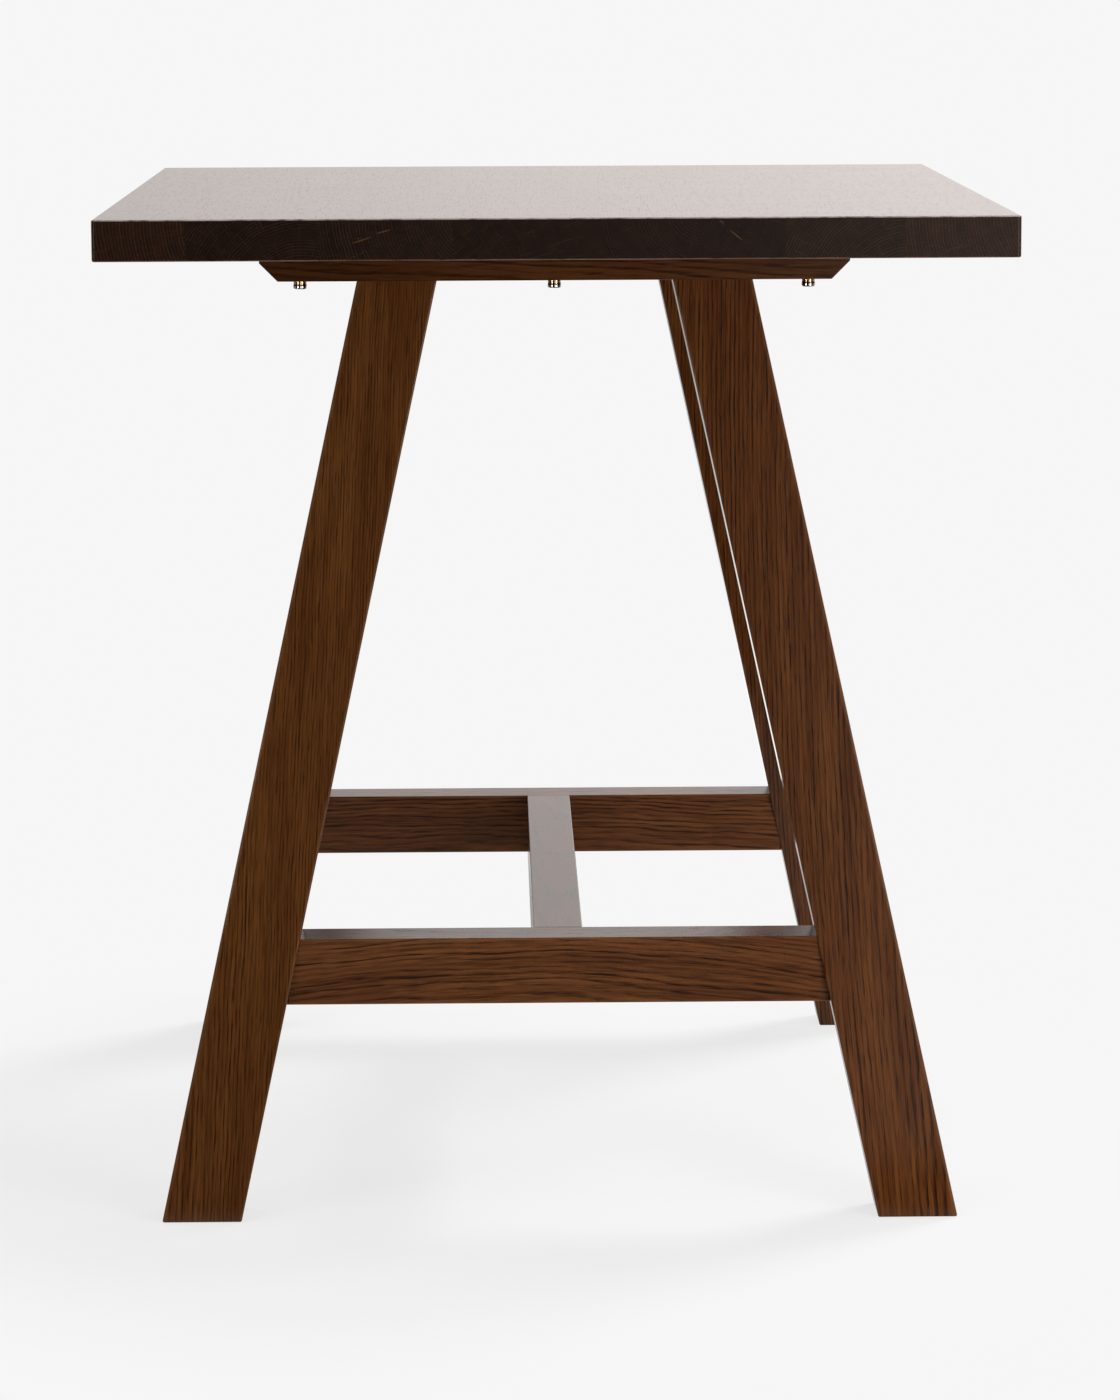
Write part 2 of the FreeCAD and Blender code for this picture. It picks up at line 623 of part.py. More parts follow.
def make_stretcher_joints():
    """Dowels, studs, inserts, washers and nuts that hold the stretcher between the rails."""
    def dowels(sketch):
        for sign in (-1, 1):
            add_circle(sketch, "dowel_size", ((sign, "dowel_spacing"), None))

    def insert(sketch):
        add_circle(sketch, "insert_size")
        add_circle(sketch, "washer_bore")

    def washer(sketch):
        add_circle(sketch, "stud_washer_size")
        add_circle(sketch, "washer_bore")

    def nut(sketch):
        add_hexagon(sketch, "nut_flats")
        add_circle(sketch, "washer_bore")

    make_end_group("stretcher_dowels", "dowel_length", "rail_face", dowels, True)
    make_end_group("stretcher_studs", "stud_length", "stud_mid", lambda item: add_circle(item, "bolt_size"), True)
    make_end_group("stud_inserts", "insert_length", "insert_back", insert, False)
    make_end_group("stud_washers", "stud_washer_height", "wall_face", washer, False)
    make_end_group("stud_nuts", "nut_height", "nut_face", nut, False)


def make_glides():
    """Glides let into the feet, each held by one countersunk screw."""
    glides = new_body("foot_glides")
    sketch = new_sketch(glides, "outline", "XY_Plane")
    for spot in FOOT_SPOTS:
        add_circle(sketch, "glide_size", spot)
    add_pad(glides, sketch, "glide_height")
    round_edges(glides, "glide_rim", lambda edge: lies_at(edge, "z", 0))
    heads = new_sketch(glides, "head_holes", "XY_Plane")
    shafts = new_sketch(glides, "screw_holes", "XY_Plane")
    for spot in FOOT_SPOTS:
        add_circle(heads, "screw_head_hole", spot)
        add_circle(shafts, "screw_hole", spot)
    add_pocket(glides, heads, "screw_head_base", back=True)
    add_pocket(glides, shafts, "glide_height", back=True)
    nodes.append(glides)
    screws = make_rings("glide_screws", FOOT_SPOTS, "screw_head_base", "glide_screw_length", "glide_screw_size")
    caps = new_sketch(screws, "heads", "XY_Plane")
    for spot in FOOT_SPOTS:
        add_circle(caps, "glide_screw_head", spot)
    add_pad(screws, caps, "glide_screw_head_height", back=True)
    nodes.append(screws)


for stave in range(1, STAVES + 1):
    make_stave(stave)
for end_label, end_side in ENDS:
    make_bearer(end_label, end_side)
    for side_label, leg_side in SIDES:
        make_leg(end_label, end_side, side_label, leg_side)
    make_rail(end_label, end_side)
make_stretcher()
make_top_hardware()
make_leg_tenons()
make_rail_tenons()
make_stretcher_joints()
make_glides()

doc.recompute()
for item in doc.Objects:
    if "Invalid" in item.State or "Error" in item.State:
        raise RuntimeError(f"{item.Name} did not build")
os.makedirs("parts", exist_ok=True)
for body in nodes:
    shape = body.Shape
    if shape.isNull() or not shape.isValid():
        raise RuntimeError(f"{body.Label} has no sound shape")
    shape.exportStep(f"parts/{body.Label}.step")
    print(body.Label, len(shape.Solids), round(shape.Volume))
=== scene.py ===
import math

import bmesh
import bpy
from mathutils import Matrix, Vector


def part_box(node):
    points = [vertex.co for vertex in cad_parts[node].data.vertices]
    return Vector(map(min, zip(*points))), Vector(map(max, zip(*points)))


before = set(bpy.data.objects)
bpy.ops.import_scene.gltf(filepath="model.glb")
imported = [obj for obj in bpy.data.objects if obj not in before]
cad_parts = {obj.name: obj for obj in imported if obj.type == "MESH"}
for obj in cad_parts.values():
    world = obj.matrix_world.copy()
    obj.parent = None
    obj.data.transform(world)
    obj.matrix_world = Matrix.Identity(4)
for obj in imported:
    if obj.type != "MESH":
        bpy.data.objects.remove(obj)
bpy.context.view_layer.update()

scene = bpy.context.scene

X, Y, Z = (1, 0, 0), (0, 1, 0), (0, 0, 1)
AXES = (X, Y, Z)

# A piece's own coordinates along its grain, across it and in depth, and which of X, Y and Z these are on pieces
# that are square to the table.
LONG, WIDE, DEEP = 0, 1, 2
ENDWAYS = (1, 0, 2)
SIDEWAYS = (0, 1, 2)
SIDEWAYS_ON_EDGE = (0, 2, 1)

# Sizes of the legs in metres and their slopes, the same as in the solid model.
LEG_WIDTH = 0.087
LEG_DEPTH = 0.070
LEG_HALF_LENGTH = 0.52
LEG_LENGTH_PER_HEIGHT = 1.02
SIDE_SLOPE = math.tan(math.radians(12.2))
END_SLOPE = math.tan(math.radians(6.2))

# Camera found from the edges of the photo, for a frame of 1120 by 1400 pixels.
PHOTO_HEIGHT = 1400
FOCAL_PIXELS = 4960.0
SENSOR_HEIGHT = 24
CLIP_END = 100
CAMERA_PLACE = Vector((-0.07125, -5.80643, 1.38935))
CAMERA_YAW = 0.01388
CAMERA_PITCH = 0.15242
CAMERA_ROLL = -0.00434

# Levels of light: the background and the floor as the camera sees them, the share of the floor near the table that
# is a glow of its own, and the soft light from all round.
BACKGROUND = 0.922
FLOOR_LEVEL = 0.946
FLOOR_GLOW = 0.74
SOFT_LIGHT = 0.52


def add_camera():
    """Camera with the photo's place, aim and lens."""
    ahead = Vector((math.sin(CAMERA_YAW) * math.cos(CAMERA_PITCH),
                    math.cos(CAMERA_YAW) * math.cos(CAMERA_PITCH),
                    -math.sin(CAMERA_PITCH)))
    right = Vector((math.cos(CAMERA_YAW), -math.sin(CAMERA_YAW), 0))
    up = right.cross(ahead)
    turned_right = right * math.cos(CAMERA_ROLL) + up * math.sin(CAMERA_ROLL)
    turned_up = up * math.cos(CAMERA_ROLL) - right * math.sin(CAMERA_ROLL)
    data = bpy.data.cameras.new("camera")
    data.sensor_fit = "VERTICAL"
    data.sensor_height = SENSOR_HEIGHT
    data.lens = FOCAL_PIXELS / PHOTO_HEIGHT * SENSOR_HEIGHT
    data.clip_end = CLIP_END
    camera = bpy.data.objects.new("camera", data)
    turn = Matrix((turned_right, turned_up, -ahead)).transposed()
    camera.matrix_world = Matrix.Translation(CAMERA_PLACE) @ turn.to_4x4()
    scene.collection.objects.link(camera)
    scene.camera = camera


class Nodes:
    """Short way to write a node tree."""

    def __init__(self, tree):
        self.tree = tree

    def new(self, kind, **settings):
        node = self.tree.nodes.new(kind)
        for name, value in settings.items():
            setattr(node, name, value)
        return node

    def feed(self, socket, value):
        """Link an output to a socket, or set a constant on it."""
        if isinstance(value, bpy.types.NodeSocket):
            self.tree.links.new(value, socket)
        else:
            socket.default_value = value

    def math(self, operation, *values):
        node = self.new("ShaderNodeMath", operation=operation)
        for socket, value in zip(node.inputs, values):
            self.feed(socket, value)
        return node.outputs[0]

    def times(self, first, second):
        return self.math("MULTIPLY", first, second)

    def line(self, value, slope, base):
        """value * slope + base."""
        return self.math("MULTIPLY_ADD", value, slope, base)

    def dot(self, vector, direction):
        node = self.new("ShaderNodeVectorMath", operation="DOT_PRODUCT")
        self.feed(node.inputs[0], vector)
        node.inputs[1].default_value = direction
        return node.outputs["Value"]

    def scale(self, vector, factor):
        """Vector or colour times a number."""
        node = self.new("ShaderNodeVectorMath", operation="SCALE")
        self.feed(node.inputs[0], vector)
        self.feed(node.inputs["Scale"], factor)
        return node.outputs[0]

    def join(self, x, y, z):
        node = self.new("ShaderNodeCombineXYZ")
        for socket, value in zip(node.inputs, (x, y, z)):
            self.feed(socket, value)
        return node.outputs[0]

    def noise(self, vector, scale, detail, rough=0.5):
        node = self.new("ShaderNodeTexNoise")
        self.feed(node.inputs["Vector"], vector)
        node.inputs["Scale"].default_value = scale
        node.inputs["Detail"].default_value = detail
        node.inputs["Roughness"].default_value = rough
        return node.outputs["Fac"]

    def centred(self, noise):
        """A noise moved to lie about 0."""
        return self.math("SUBTRACT", noise, 0.5)

    def ramp(self, value, low, high, shape="SMOOTHSTEP"):
        """0 at low and 1 at high."""
        node = self.new("ShaderNodeMapRange", interpolation_type=shape)
        self.feed(node.inputs["Value"], value)
        node.inputs["From Min"].default_value = low
        node.inputs["From Max"].default_value = high
        return node.outputs["Result"]

    def mix(self, share, first, second):
        """Blend of two colours or outputs."""
        node = self.new("ShaderNodeMix", data_type="RGBA")
        self.feed(node.inputs["Factor"], share)
        for socket, value in ((node.inputs[6], first), (node.inputs[7], second)):
            self.feed(socket, value if isinstance(value, bpy.types.NodeSocket) else (*value, 1))
        return node.outputs[2]

    def glow(self, level):
        """Grey light of a given level."""
        node = self.new("ShaderNodeEmission")
        self.feed(node.inputs["Strength"], level)
        return node.outputs[0]

    def blend(self, share, first, second):
        """Mix of two shaders."""
        node = self.new("ShaderNodeMixShader")
        for socket, value in zip(node.inputs, (share, first, second)):
            self.feed(socket, value)
        return node.outputs[0]

    def seen_directly(self, path):
        """1 where the camera looks, also through something clear."""
        return self.math("MAXIMUM", path.outputs["Is Camera Ray"], path.outputs["Is Transmission Ray"])

    def close(self, kind, surface):
        """Output node of a material or a world."""
        self.feed(self.new(kind).inputs["Surface"], surface)


def new_material(name):
    """Empty material, its nodes and the place on the object."""
    material = bpy.data.materials.new(name)
    material.use_nodes = True
    material.node_tree.nodes.clear()
    nodes = Nodes(material.node_tree)
    return material, nodes, nodes.new("ShaderNodeTexCoord").outputs["Object"]


def close_material(nodes, color, rough, bump, **constants):
    """Surface shader fed with colour, roughness and a bump, which is a height, its strength and its distance."""
    shader = nodes.new("ShaderNodeBsdfPrincipled")
    nodes.feed(shader.inputs["Base Color"], color)
    nodes.feed(shader.inputs["Roughness"], rough)
    for name, value in constants.items():
        shader.inputs[name].default_value = value
    height, strength, distance = bump
    node = nodes.new("ShaderNodeBump")
    node.inputs["Strength"].default_value = strength
    node.inputs["Distance"].default_value = distance
    nodes.feed(node.inputs["Height"], height)
    nodes.feed(shader.inputs["Normal"], node.outputs[0])
    nodes.close("ShaderNodeOutputMaterial", shader.outputs[0])


# Noises drawn out along the grain: their ratio along it, where less is longer, then scale, detail and roughness,
# and the limits between which each counts.
GRAIN = {
    "dashes": ((0.07, 330.0, 2.0, 0.5), (0.38, 0.60)),
    "vessels": ((0.06, 560.0, 1.0, 0.5), (0.52, 0.64)),
    "fibres": ((0.03, 420.0, 4.0, 0.65), (0.44, 0.70)),
    "streaks": ((0.05, 55.0, 3.0, 0.6), (0.30, 0.70)),
    "clouds": ((0.5, 7.0, 3.0, 0.5), (0.35, 0.70)),
    "specks": ((0.1, 1100.0, 1.0, 0.5), (0.50, 0.68)),
    "chips": ((0.35, 60.0, 3.0, 0.6), (0.20, 0.60)),
}
# Wobbles of the rings: ratio and scale as above, and size as a multiple of the tree's wander.
WOBBLES = ((0.9, 3.0, 4.0), (0.35, 32.0, 1.4), (0.08, 160.0, 0.35))
WOBBLE_DETAIL = 2.0
SEED_STEP = 3.7
# Dark early wood of a ring: where in the year it begins and ends, how much years and dashes differ, and how much
# more its vessels show there.
EARLY_BEGINS = (0.0, 0.06)
EARLY_ENDS = (0.20, 0.58)
YEAR_SPREAD = 0.6
DASH_SPREAD = 0.6
VESSEL_SPREAD = 0.7
# How strongly each tone is laid over the one before.
CLOUD_SHARE = 0.45
FIBRE_SHARE = 0.55
PORE_SHARE = 0.92
END_LINE_SHARE = 0.56
END_RAY_SHARE = 0.30
END_SPECK_SHARE = 0.55
FLECK_SHARE = 0.4
# End grain: how squarely a face looks along the grain, its rays, blotches and single pale rays.
END_FACE = (0.55, 0.85)
RAY_TURN = 9.0
RAY_RADIUS = 1.6
RAY_NOISE = (16.0, 3.0, 0.6)
RAY_LIMITS = (0.62, 0.76)
BLOTCH_NOISE = (60.0, 4.0, 0.7)
BLOTCH_LIMITS = (0.24, 0.76)
FLECK_WIDTH = (0.0010, 0.0002)
FLECK_FULL = 0.3
# In metres: where the painted shade at a joint begins and is full before a piece's ends, where a rubbed or lit rim
# is full before its edge, and how fast lower rims turn into upper ones.
JOINT_SHADE_REACH = (0.0032, 0.0020)
RIM_FULL = 0.0005
RIM_TURN = 0.001
# Surface: smears, what pores add to the roughness, the part of fibres in the bump, its depth, and the lacquer.
SMEAR_NOISE = (9.0, 3.0)
PORE_ROUGH = 0.4
FIBRE_HEIGHT = 0.35
GRAIN_DEPTH = 0.0002
LACQUER_IOR = 1.32


def fleck_mark(nodes, wide, deep, fleck):
    """1 on a single pale ray, given by its middle across and in depth, its slope and half its length."""
    fleck_wide, fleck_deep, slope, reach = fleck
    from_wide = nodes.math("SUBTRACT", wide, fleck_wide)
    from_deep = nodes.math("SUBTRACT", deep, fleck_deep)
    spot = nodes.join(from_wide, from_deep, 0.0)
    run = nodes.math("ABSOLUTE", nodes.dot(spot, (math.cos(slope), math.sin(slope), 0)))
    aside = nodes.math("ABSOLUTE", nodes.dot(spot, (-math.sin(slope), math.cos(slope), 0)))
    return nodes.times(nodes.ramp(run, reach, reach * FLECK_FULL), nodes.ramp(aside, *FLECK_WIDTH))


def wood(name, axes, half, pith, ring, tones, seed, tilt=(0.0, 0.0), wander=0.004, worn_edges=(), flecks=(),
         sweep=(0.0, 0.0), fade=(1.0, 1.0)):
    """Timber with rings, pores and end grain as a solid texture.

    axes are three (direction, offset) pairs that turn a point into the piece's own coordinates along, across and
    in depth, half is half its size in each, pith is where its rings are centred across and in depth, ring is how
    wide they are, and tilt leans the pith along the grain, which draws the arched figure of flat-sawn faces.
    worn_edges names the pairs of coordinates whose edges are lighter: rubbed lighter below, and above
    also rubbed lighter on most pieces and painted with a highlight on the top's staves. flecks are single pale rays
    on the end grain. sweep leans and bows the grain across the piece, and fade is painted light and shade along it,
    how much lighter or darker it is at its low end and from its middle on.
    """
    material, nodes, place = new_material(name)
    own = [nodes.math("ADD", nodes.dot(place, vector), offset) for vector, offset in axes]
    long, wide, deep = own
    shifted = nodes.math("ADD", long, seed * SEED_STEP)
    swept = nodes.line(nodes.line(long, sweep[1], sweep[0]), long, wide)

    def stretched(ratio, scale, detail, rough=0.5):
        """Noise drawn out along the grain."""
        return nodes.noise(nodes.join(nodes.times(shifted, ratio), swept, deep), scale, detail, rough)

    def grain(kind):
        """One of the noises of the grain, 0 to 1."""
        noise, limits = GRAIN[kind]
        return nodes.ramp(stretched(*noise), *limits)

    def laid(below, mask, share, tone):
        """A tone laid over a colour where the mask is."""
        return nodes.mix(nodes.times(mask, share), below, tones[tone])

    off_wide = nodes.math("SUBTRACT", swept, nodes.line(long, tilt[0], pith[0]))
    off_deep = nodes.math("SUBTRACT", deep, nodes.line(long, tilt[1], pith[1]))
    squares = [nodes.math("POWER", off, 2.0) for off in (off_wide, off_deep)]
    radius = nodes.math("SQRT", nodes.math("ADD", *squares))
    for ratio, scale, size in WOBBLES:
        wobble = nodes.centred(stretched(ratio, scale, WOBBLE_DETAIL))
        radius = nodes.line(wobble, wander * size, radius)
    year = nodes.math("DIVIDE", radius, ring)
    share = nodes.math("FRACT", year)
    yearly = nodes.new("ShaderNodeTexWhiteNoise", noise_dimensions="1D")
    nodes.feed(yearly.inputs["W"], nodes.math("ADD", nodes.math("FLOOR", year), seed))
    tail = nodes.math("SUBTRACT", 1.0, nodes.ramp(share, *EARLY_ENDS))
    line = nodes.times(nodes.ramp(share, *EARLY_BEGINS), tail)
    line = nodes.times(line, nodes.line(yearly.outputs["Value"], YEAR_SPREAD, 1 - YEAR_SPREAD))

    early = nodes.times(line, nodes.line(grain("dashes"), DASH_SPREAD, 1 - DASH_SPREAD))
    pores = nodes.times(grain("vessels"), nodes.line(line, VESSEL_SPREAD, 1 - VESSEL_SPREAD))
    fibre_noise, fibre_limits = GRAIN["fibres"]
    fibre = stretched(*fibre_noise)

    color = nodes.mix(grain("streaks"), tones["mid"], tones["light"])
    color = laid(color, grain("clouds"), CLOUD_SHARE, "red")
    color = laid(color, nodes.ramp(fibre, *fibre_limits), FIBRE_SHARE, "dark")
    color = nodes.mix(early, color, tones["dark"])
    color = laid(color, pores, PORE_SHARE, "pore")
    # Painted light and shade along the piece: lighter or darker at its low end than from its middle on.
    painted_light_scale = nodes.line(nodes.ramp(long, -half[LONG], 0.0), fade[1] - fade[0], fade[0])
    color = nodes.scale(color, painted_light_scale)
    # Painted shade where the piece butts against its neighbours, darkening it towards its ends.
    joint_shade = nodes.ramp(nodes.math("ABSOLUTE", long), *(half[LONG] - reach for reach in JOINT_SHADE_REACH))
    color = laid(color, joint_shade, tones["joint_shade"], "pore")

    normal = nodes.new("ShaderNodeTexCoord").outputs["Normal"]
    end_face = nodes.ramp(nodes.math("ABSOLUTE", nodes.dot(normal, axes[LONG][0])), *END_FACE)
    turn = nodes.math("ARCTAN2", off_deep, off_wide)
    fan = nodes.join(nodes.times(turn, RAY_TURN), nodes.times(radius, RAY_RADIUS), seed)
    rays = nodes.ramp(nodes.noise(fan, *RAY_NOISE), *RAY_LIMITS)
    blotch = nodes.ramp(nodes.noise(nodes.join(wide, deep, seed), *BLOTCH_NOISE), *BLOTCH_LIMITS)
    end_color = nodes.mix(blotch, tones["end_dark"], tones["end"])
    end_color = laid(end_color, line, END_LINE_SHARE, "end_light")
    end_color = laid(end_color, rays, END_RAY_SHARE, "end_ray")
    end_color = laid(end_color, grain("specks"), END_SPECK_SHARE, "end_dark")
    for fleck in flecks:
        end_color = laid(end_color, fleck_mark(nodes, wide, deep, fleck), FLECK_SHARE, "end_ray")
    color = nodes.mix(end_face, color, end_color)

    rims = [nodes.ramp(nodes.math("ABSOLUTE", value), limit - tones["rim"], limit - RIM_FULL)
            for value, limit in zip(own, half)]
    # Lower rims take the rubbed colour; upper rims take their own colour, which on the top's staves is a painted
    # highlight.
    rim_wear_and_highlight = nodes.mix(nodes.ramp(deep, -RIM_TURN, RIM_TURN), tones["worn"], tones["upper_wear_and_highlight"])
    for first, second in worn_edges:
        edge = nodes.times(nodes.times(rims[first], rims[second]), grain("chips"))
        color = nodes.mix(nodes.times(edge, tones["rim_share"]), color, rim_wear_and_highlight)

    smear = nodes.centred(nodes.noise(place, *SMEAR_NOISE))
    rough = nodes.line(smear, tones["rough"] * tones["smear"], tones["rough"])
    rough = nodes.line(pores, tones["rough"] * PORE_ROUGH, rough)
    rough = nodes.line(end_face, tones["end_rough"], rough)
    height = nodes.math("SUBTRACT", nodes.times(fibre, FIBRE_HEIGHT), pores)
    close_material(nodes, color, rough, (height, tones["bump"], GRAIN_DEPTH), IOR=LACQUER_IOR)
    return material


# Tones of each kind of timber: its faces, its end grain, its rubbed lower rims and its upper rims, rubbed too
# except on the top, where they carry a painted highlight, with their width, then roughness, what end grain adds to
# it, smears, bump, the share of the rim colours and the darkness of the painted shade at the joints.
LEG_TONES = {
    "light": (0.108, 0.0370, 0.0092), "mid": (0.059, 0.0182, 0.0043), "red": (0.069, 0.0198, 0.0053),
    "dark": (0.0135, 0.0040, 0.0011), "pore": (0.0085, 0.0027, 0.0009),
    "end": (0.030, 0.012, 0.006), "end_dark": (0.012, 0.005, 0.003), "end_light": (0.046, 0.020, 0.009),
    "end_ray": (0.060, 0.028, 0.013),
    "worn": (0.150, 0.066, 0.026), "upper_wear_and_highlight": (0.150, 0.066, 0.026), "rim": 0.0040,
    "rough": 0.085, "end_rough": 0.08, "smear": 0.3, "bump": 0.10, "rim_share": 0.35, "joint_shade": 0.0,
}
PLAIN_LEG_TONES = dict(
    LEG_TONES, light=(0.088, 0.0324, 0.0082), mid=(0.056, 0.0189, 0.0047), red=(0.061, 0.0195, 0.0052),
    dark=(0.026, 0.0084, 0.0020), pore=(0.0165, 0.0054, 0.0015))
RAIL_TONES = dict(
    LEG_TONES, light=(0.110, 0.0378, 0.0102), mid=(0.072, 0.0230, 0.0060), red=(0.084, 0.0243, 0.0071),
    dark=(0.015, 0.0044, 0.0012), rough=0.28, bump=0.25, joint_shade=0.85)
STRETCHER_TONES = dict(RAIL_TONES, rough=0.15)
BEARER_TONES = dict(
    LEG_TONES, light=(0.061, 0.0222, 0.0066), mid=(0.038, 0.0131, 0.0043), red=(0.045, 0.0143, 0.0047),
    dark=(0.018, 0.0062, 0.0019), pore=(0.011, 0.0037, 0.0012))
TOP_TONES = {
    "light": (0.100, 0.042, 0.018), "mid": (0.070, 0.028, 0.012), "red": (0.078, 0.028, 0.013),
    "dark": (0.030, 0.011, 0.005), "pore": (0.016, 0.007, 0.004),
    "end": (0.0135, 0.0053, 0.0024), "end_dark": (0.0052, 0.0020, 0.0009),
    "end_light": (0.028, 0.0122, 0.0060), "end_ray": (0.120, 0.056, 0.022),
    # The top's upper rim colour is a painted highlight along its edges.
    "worn": (0.110, 0.060, 0.043), "upper_wear_and_highlight": (0.46, 0.39, 0.37), "rim": 0.0018,
    "rough": 0.13, "end_rough": 0.10, "smear": 0.12, "bump": 0.008, "rim_share": 0.9, "joint_shade": 0.0,
}
BEECH_TONES = {
    "light": (0.52, 0.33, 0.18), "mid": (0.44, 0.27, 0.145), "red": (0.46, 0.26, 0.14),
    "dark": (0.35, 0.20, 0.10), "pore": (0.27, 0.15, 0.075),
    "end": (0.38, 0.23, 0.12), "end_dark": (0.28, 0.16, 0.08), "end_light": (0.47, 0.30, 0.17),
    "end_ray": (0.50, 0.33, 0.20),
    "worn": (0.56, 0.38, 0.22), "upper_wear_and_highlight": (0.56, 0.38, 0.22), "rim": 0.0040,
    "rough": 0.55, "end_rough": 0.08, "smear": 0.3, "bump": 0.3, "rim_share": 0.3, "joint_shade": 0.0,
}


def shade(tones, factor):
    """The same tones, lighter or darker."""
    return {name: tuple(part * factor for part in value) if isinstance(value, tuple) else value
            for name, value in tones.items()}


def give(node, material):
    """Put a material on every slot of a node."""
    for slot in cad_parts[node].material_slots:
        slot.material = material


def dress_square(node, order, **grain):
    """Timber on a piece square to the table, with its own coordinates in a given order of X, Y and Z."""
    low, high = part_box(node)
    axes = [(AXES[axis], -(low[axis] + high[axis]) / 2) for axis in order]
    half = [(high[axis] - low[axis]) / 2 for axis in order]
    give(node, wood(f"{node}_oak", axes, half, **grain))


# Each stave has its own tree: where its pith lies, the width of its rings, how light it took the stain, how light
# its end is, which on the right-hand staves is partly painted light falling from the right, and the single pale
# rays on its end.
STAVE_TREES = [
    ((0.150, 0.035), 0.0036, 0.95, 1.18, ()),
    ((0.060, -0.060), 0.0032, 1.06, 0.76, ()),
    ((0.108, 0.043), 0.0034, 0.92, 0.86, ((-0.025, -0.0003, 0.31, 0.013), (-0.002, 0.0085, 0.26, 0.010))),
    ((-0.110, -0.040), 0.0030, 1.06, 0.66, ()),
    ((0.075, 0.050), 0.0034, 0.97, 0.66, ()),
    ((-0.065, 0.050), 0.0030, 1.04, 0.60,
     ((-0.007, 0.0029, -0.68, 0.0100), (-0.0224, 0.0169, -0.68, 0.0035))),
    ((0.075, -0.060), 0.0032, 0.95, 0.96, ()),
    ((0.130, 0.040), 0.0034, 1.10, 1.28, ()),
]


def dress_top():
    """Staves of the top, with the shade of the end grain set apart."""
    for number, (pith, ring, tone, end_tone, flecks) in enumerate(STAVE_TREES, start=1):
        tones = shade(TOP_TONES, tone)
        for name in ("end", "end_dark", "end_light"):
            tones[name] = tuple(part * end_tone for part in TOP_TONES[name])
        dress_square(f"top_stave_{number}", ENDWAYS, pith=pith, ring=ring, tones=tones, seed=11.0 + number * 1.9,
                     tilt=(0.012, 0.02), wander=0.003, worn_edges=((LONG, DEEP),), flecks=flecks)


# Rails: the width of their rings, painted light and shade along them, lighter or darker at the left and from the
# middle on as light falls from the right, and the grain's bow.
RAILS = (
    ("front_rail", 0.0046, (0.98, 1.02), 0.22),
    ("rear_rail", 0.0042, (1.05, 1.17), 0.06),
)


def dress_frame():
    """Bearers, rails and stretcher."""
    for number, node in enumerate(("front_bearer", "rear_bearer")):
        dress_square(node, SIDEWAYS, pith=(0.09, -0.05), ring=0.0026, tones=BEARER_TONES, seed=31.0 + number * 2.3,
                     tilt=(0.02, 0.0), wander=0.0016, fade=(0.80, 1.02))
    for number, (node, ring, fade, bow) in enumerate(RAILS):
        dress_square(node, SIDEWAYS_ON_EDGE, pith=(-0.055, 0.032), ring=ring, tones=RAIL_TONES,
                     seed=41.0 + number * 2.9, tilt=(-0.012, 0.01), wander=0.0055, worn_edges=((WIDE, DEEP),),
                     sweep=(0.0, bow), fade=fade)
    dress_square("stretcher", ENDWAYS, pith=(0.012, -0.060), ring=0.0042, tones=STRETCHER_TONES, seed=47.0,
                 tilt=(0.01, 0.03), worn_edges=((WIDE, DEEP),))


# Legs of each side: its sign, the width of the rings, the tones, painted light and shade along them, lighter or
# darker at the foot and from the middle up, which on the right legs paints the light that grows towards the foot,
# and the grain's bow.
LEG_SIDES = (
    ("left", -1, 0.0026, PLAIN_LEG_TONES, (1.0, 0.98), 0.0),
    ("right", 1, 0.0043, LEG_TONES, (1.14, 0.84), -0.06),
)
LEG_PITH = (0.16, -0.10)
# How far the grain turns from a leg's lean towards upright.
UPRIGHT_GRAIN = 0.75


def dress_legs():
    """Legs carry nearly upright grain, which runs out at their leaning sides."""
    seed = 51.0
    for end, end_sign in (("front", -1), ("rear", 1)):
        for side, side_sign, ring, tones, fade, bow in LEG_SIDES:
            node = f"{end}_{side}_leg"
            low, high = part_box(node)
            foot_x = (high[0] if side_sign > 0 else low[0]) - side_sign * LEG_WIDTH / 2
            foot_y = (high[1] if end_sign > 0 else low[1]) - end_sign * LEG_DEPTH / 2
            axes = (((0, 0, LEG_LENGTH_PER_HEIGHT), -LEG_HALF_LENGTH),
                    ((1, 0, side_sign * SIDE_SLOPE), -foot_x),
                    ((0, 1, end_sign * END_SLOPE), -foot_y))
            give(node, wood(f"{node}_oak", axes, (LEG_HALF_LENGTH, LEG_WIDTH / 2, LEG_DEPTH / 2),
                            pith=(side_sign * LEG_PITH[0], end_sign * LEG_PITH[1]), ring=ring, tones=tones,
                            seed=seed, tilt=(0.008, 0.004), wander=0.003, worn_edges=((WIDE, DEEP),),
                            sweep=(-side_sign * SIDE_SLOPE * UPRIGHT_GRAIN, bow), fade=fade))
            seed += 2.7


# Painted shade in the crease between a bolt's head and its spring washer: its level, where it begins and is full
# off that level, and its colour.
BOLT_GROOVE = 1.0157
GROOVE_REACH = (0.0012, 0.0005)
GROOVE_SHADE = (0.030, 0.020, 0.012)
# Metal: marks that run round a turned piece, dulled spots, what the marks add to the roughness, and their bump.
MARK_SQUEEZE = 14
MARK_NOISE = (700.0, 3.0, 0.6)
DULL_NOISE = (260.0, 4.0, 0.6)
DULL_LIMITS = (0.42, 0.72)
MARK_ROUGH = 0.14
MARK_BUMP = 0.10
MARK_DEPTH = 0.0001
# Nylon: its moulded grain with the bump, its scuffs, and the roughness without them and what they add.
NYLON_GRAIN = (1400.0, 2.0)
NYLON_BUMP = 0.3
NYLON_DEPTH = 0.0001
SCUFF_NOISE = (120.0, 4.0, 0.65)
SCUFF_LIMITS = (0.45, 0.75)
NYLON_ROUGH = 0.45
SCUFF_ROUGH = 0.25
NYLON_IOR = 1.5


